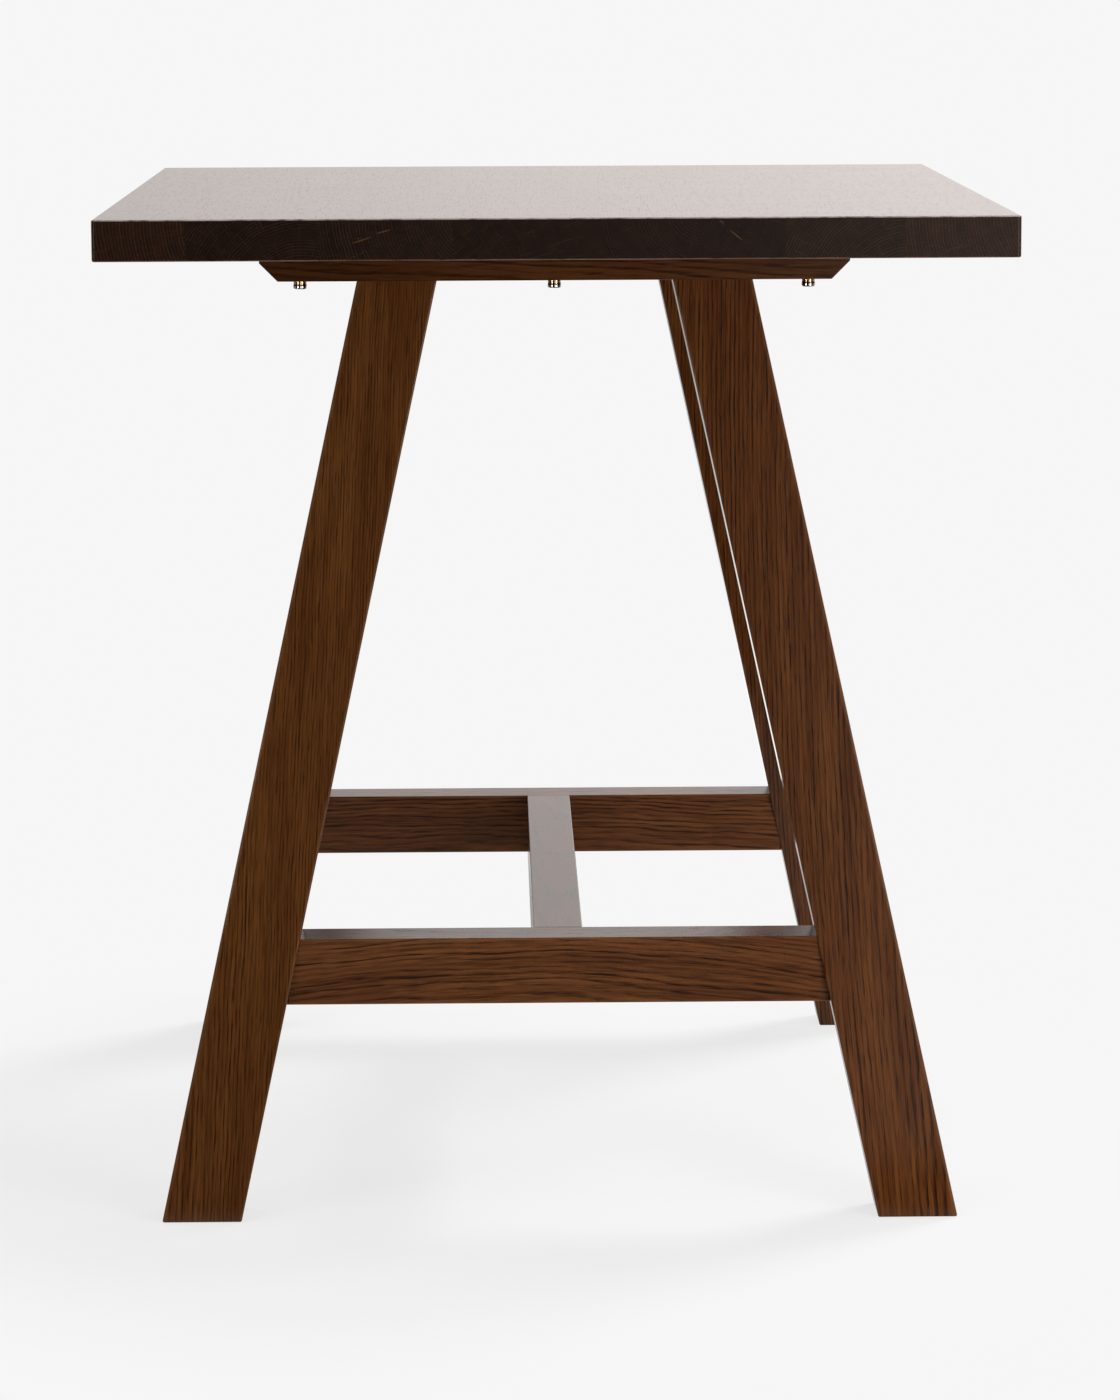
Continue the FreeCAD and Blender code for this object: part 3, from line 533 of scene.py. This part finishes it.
def metal(name, color, dark, rough, groove=None):
    """Plated or turned metal with fine marks, dulled spots and painted shade in the crease at the given level."""
    material, nodes, place = new_material(name)
    turned = nodes.join(nodes.dot(place, X), nodes.dot(place, Y), nodes.dot(place, (0, 0, MARK_SQUEEZE)))
    marks = nodes.noise(turned, *MARK_NOISE)
    tint = nodes.mix(nodes.ramp(nodes.noise(place, *DULL_NOISE), *DULL_LIMITS), color, dark)
    if groove:
        off = nodes.math("ABSOLUTE", nodes.math("SUBTRACT", nodes.dot(place, Z), groove))
        # Painted shade in the crease between head and spring washer.
        tint = nodes.mix(nodes.ramp(off, *GROOVE_REACH), tint, GROOVE_SHADE)
    sheen = nodes.line(marks, MARK_ROUGH, rough)
    close_material(nodes, tint, sheen, (marks, MARK_BUMP, MARK_DEPTH), Metallic=1.0)
    return material


def plastic(name, color, dark):
    """Moulded nylon with a fine grain and scuffs."""
    material, nodes, place = new_material(name)
    grain = nodes.noise(place, *NYLON_GRAIN)
    scuff = nodes.noise(place, *SCUFF_NOISE)
    tint = nodes.mix(nodes.ramp(scuff, *SCUFF_LIMITS), color, dark)
    sheen = nodes.line(scuff, SCUFF_ROUGH, NYLON_ROUGH)
    close_material(nodes, tint, sheen, (grain, NYLON_BUMP, NYLON_DEPTH), IOR=NYLON_IOR)
    return material


# Beech pieces: node, material, coordinates along, across and in depth, and seed.
BEECH_PIECES = (
    ("leg_tenons", "leg_tenon_beech", ((Z, -1.0), (X, 0), (Y, 0)), 71.0),
    ("rail_tenons", "rail_tenon_beech", ((X, 0), (Z, -0.27), (Y, 0)), 73.0),
    ("stretcher_dowels", "dowel_beech", ((Y, 0), (X, 0), (Z, -0.27)), 75.0),
)
BEECH_HALF = (0.05, 0.05, 0.05)
STEEL_NODES = ("spring_washers", "plain_washers", "stretcher_studs", "stud_washers", "stud_nuts", "glide_screws")
BRASS_NODES = ("top_inserts", "stud_inserts")


def dress_small_pieces():
    """Fittings of metal and nylon, and the loose tenons and dowels."""
    steel = metal("yellow_zinc_steel", color=(0.58, 0.42, 0.24), dark=(0.40, 0.27, 0.14), rough=0.10,
                  groove=BOLT_GROOVE)
    bolt_steel = metal("zinc_steel", color=(0.70, 0.67, 0.62), dark=(0.46, 0.42, 0.36), rough=0.10,
                       groove=BOLT_GROOVE)
    brass = metal("turned_brass", color=(0.62, 0.44, 0.18), dark=(0.42, 0.28, 0.11), rough=0.24)
    give("top_bolts", bolt_steel)
    for node in STEEL_NODES:
        give(node, steel)
    for node in BRASS_NODES:
        give(node, brass)
    give("foot_glides", plastic("glide_nylon", color=(0.020, 0.017, 0.015), dark=(0.045, 0.040, 0.036)))
    for node, name, axes, seed in BEECH_PIECES:
        give(node, wood(name, axes, BEECH_HALF, pith=(0.3, 0.2), ring=0.003, tones=BEECH_TONES, seed=seed))


FLOOR_CORNERS = ((-5, -3, 0), (5, -3, 0), (5, 9, 0), (-5, 9, 0))
FLOOR_GRAIN = (40.0, 3.0)
FLOOR_TONES = ((0.87, 0.87, 0.87), (0.91, 0.91, 0.91))
# Oval round the table in which the floor shows shadows: scale and shift along X and Y, and where it fades.
OVAL_X = (1.30, 0.16)
OVAL_Y = (0.95, 0.08)
OVAL_FADE = (0.66, 1.12)
# Level of the floor in reflections: near the camera, what is added from the table's near end on, and what is added
# far behind the table, where it rises and then falls again. The limits are along Y.
MIRRORED_NEAR = 0.01
MIRRORED_TABLE = 0.50
TABLE_RISE = (-0.95, -0.55)
MIRRORED_FAR = 0.80
FAR_RISE = (1.2, 2.4)
FAR_FALL = (2.5, 7.5)
FAR_DROP = -0.9


def add_floor():
    """Pale studio floor that fades into the white background away from the table, and is clear from below."""
    mesh = bpy.data.meshes.new("floor")
    shape = bmesh.new()
    shape.faces.new([shape.verts.new(corner) for corner in FLOOR_CORNERS])
    shape.to_mesh(mesh)
    shape.free()
    floor = bpy.data.objects.new("floor", mesh)
    scene.collection.objects.link(floor)
    material, nodes, place = new_material("floor_white")
    side, ahead = nodes.dot(place, X), nodes.dot(place, Y)
    length = nodes.new("ShaderNodeVectorMath", operation="LENGTH")
    nodes.feed(length.inputs[0], nodes.join(nodes.line(side, *OVAL_X), nodes.line(ahead, *OVAL_Y), 0.0))
    fade = nodes.ramp(length.outputs["Value"], *OVAL_FADE)
    matte = nodes.new("ShaderNodeBsdfDiffuse")
    nodes.feed(matte.inputs["Color"], nodes.mix(nodes.noise(place, *FLOOR_GRAIN), *FLOOR_TONES))
    path = nodes.new("ShaderNodeLightPath")
    share = nodes.line(fade, 1 - FLOOR_GLOW, FLOOR_GLOW)
    level = nodes.line(fade, BACKGROUND - FLOOR_LEVEL, FLOOR_LEVEL)
    shown = nodes.blend(nodes.times(share, nodes.seen_directly(path)), matte.outputs[0], nodes.glow(level))
    far = nodes.line(nodes.ramp(ahead, *FAR_FALL), FAR_DROP, nodes.ramp(ahead, *FAR_RISE))
    mirrored = nodes.line(far, MIRRORED_FAR, MIRRORED_NEAR)
    mirrored = nodes.line(nodes.ramp(ahead, *TABLE_RISE), MIRRORED_TABLE, mirrored)
    surface = nodes.blend(path.outputs["Is Glossy Ray"], shown, nodes.glow(mirrored))
    below = nodes.new("ShaderNodeNewGeometry").outputs["Backfacing"]
    surface = nodes.blend(below, surface, nodes.new("ShaderNodeBsdfTransparent").outputs[0])
    nodes.close("ShaderNodeOutputMaterial", surface)
    mesh.materials.append(material)


# The studio in reflections. The limits are of a direction's part to the side along X, ahead along Y or up along Z.
# Backdrop behind the table: its level at the left, and what is added to the right, above and below the horizon.
BACKDROP_AHEAD = (0.35, 0.85)
BACKDROP_LEFT = 0.42
BACKDROP_RIGHT = 0.97
RIGHT_SIDE = (-0.3, 0.3)
BACKDROP_ABOVE = 1.4
ABOVE_UP = (0.24, 0.42)
BACKDROP_BELOW = -0.42
BELOW_UP = (-0.02, -0.07)
# Dim room beside the table, and a low bright field behind the camera.
ROOM = 0.30
ROOM_AHEAD = (-0.6, 0.1)
FIELD = 1.7
FIELD_SIDE = (0.03, 0.17)
FIELD_AHEAD = (-0.6, -0.9)
FIELD_UP = (0.22, 0.10)
STUDIO_TINT = (1.0, 0.945, 0.925)


def add_world():
    """White studio: white to the camera, soft all round for light, and with a dim room in reflections."""
    world = bpy.data.worlds.new("studio")
    scene.world = world
    world.use_nodes = True
    world.node_tree.nodes.clear()
    nodes = Nodes(world.node_tree)
    path = nodes.new("ShaderNodeLightPath")
    direction = nodes.new("ShaderNodeTexCoord").outputs["Generated"]
    side, ahead, up = (nodes.dot(direction, axis) for axis in AXES)
    backdrop = nodes.line(nodes.ramp(side, *RIGHT_SIDE, shape="LINEAR"), BACKDROP_RIGHT, BACKDROP_LEFT)
    backdrop = nodes.line(nodes.ramp(up, *ABOVE_UP), BACKDROP_ABOVE, backdrop)
    backdrop = nodes.line(nodes.ramp(up, *BELOW_UP), BACKDROP_BELOW, backdrop)
    field = nodes.times(nodes.ramp(side, *FIELD_SIDE), nodes.ramp(ahead, *FIELD_AHEAD))
    field = nodes.times(field, nodes.ramp(up, *FIELD_UP))
    room = nodes.line(field, FIELD, nodes.times(nodes.ramp(ahead, *ROOM_AHEAD), ROOM))
    mirrored = nodes.line(nodes.ramp(ahead, *BACKDROP_AHEAD), nodes.math("SUBTRACT", backdrop, room), room)
    light = nodes.mix(path.outputs["Is Glossy Ray"], (SOFT_LIGHT,) * 3, nodes.scale(STUDIO_TINT, mirrored))
    sky = nodes.new("ShaderNodeBackground")
    nodes.feed(sky.inputs["Color"], nodes.mix(nodes.seen_directly(path), light, (BACKGROUND,) * 3))
    nodes.close("ShaderNodeOutputWorld", sky.outputs[0])


# Softboxes: place, the point they are aimed at, size in metres, power in watts, and whether reflections show them.
LAMPS = (
    ("back_softbox", (2.1, 1.9, 3.4), (0, 0, 0.5), 1.3, 105, False),
    ("front_softbox", (2.3, -3.2, 0.6), (0.3, 0, 0.3), 1.6, 95, False),
    ("side_softbox", (-3.0, -2.6, 1.6), (0, 0, 0.8), 1.2, 24, False),
    ("glint_-1", (-2.0, -2.65, 0.8), (0, -0.4, 1.0), 0.35, 5, True),
    ("glint_1", (2.0, -2.65, 0.8), (0, -0.4, 1.0), 0.35, 5, True),
)


def add_lamp(name, place, target, size, power, mirrored):
    """Square softbox aimed at a point."""
    data = bpy.data.lights.new(name, "AREA")
    data.shape = "SQUARE"
    data.size = size
    data.energy = power
    lamp = bpy.data.objects.new(name, data)
    lamp.location = place
    lamp.rotation_euler = (Vector(target) - Vector(place)).to_track_quat("-Z", "Y").to_euler()
    lamp.visible_glossy = mirrored
    scene.collection.objects.link(lamp)


add_camera()
dress_top()
dress_frame()
dress_legs()
dress_small_pieces()
add_floor()
add_world()
for lamp_settings in LAMPS:
    add_lamp(*lamp_settings)
scene.view_settings.view_transform = "Standard"
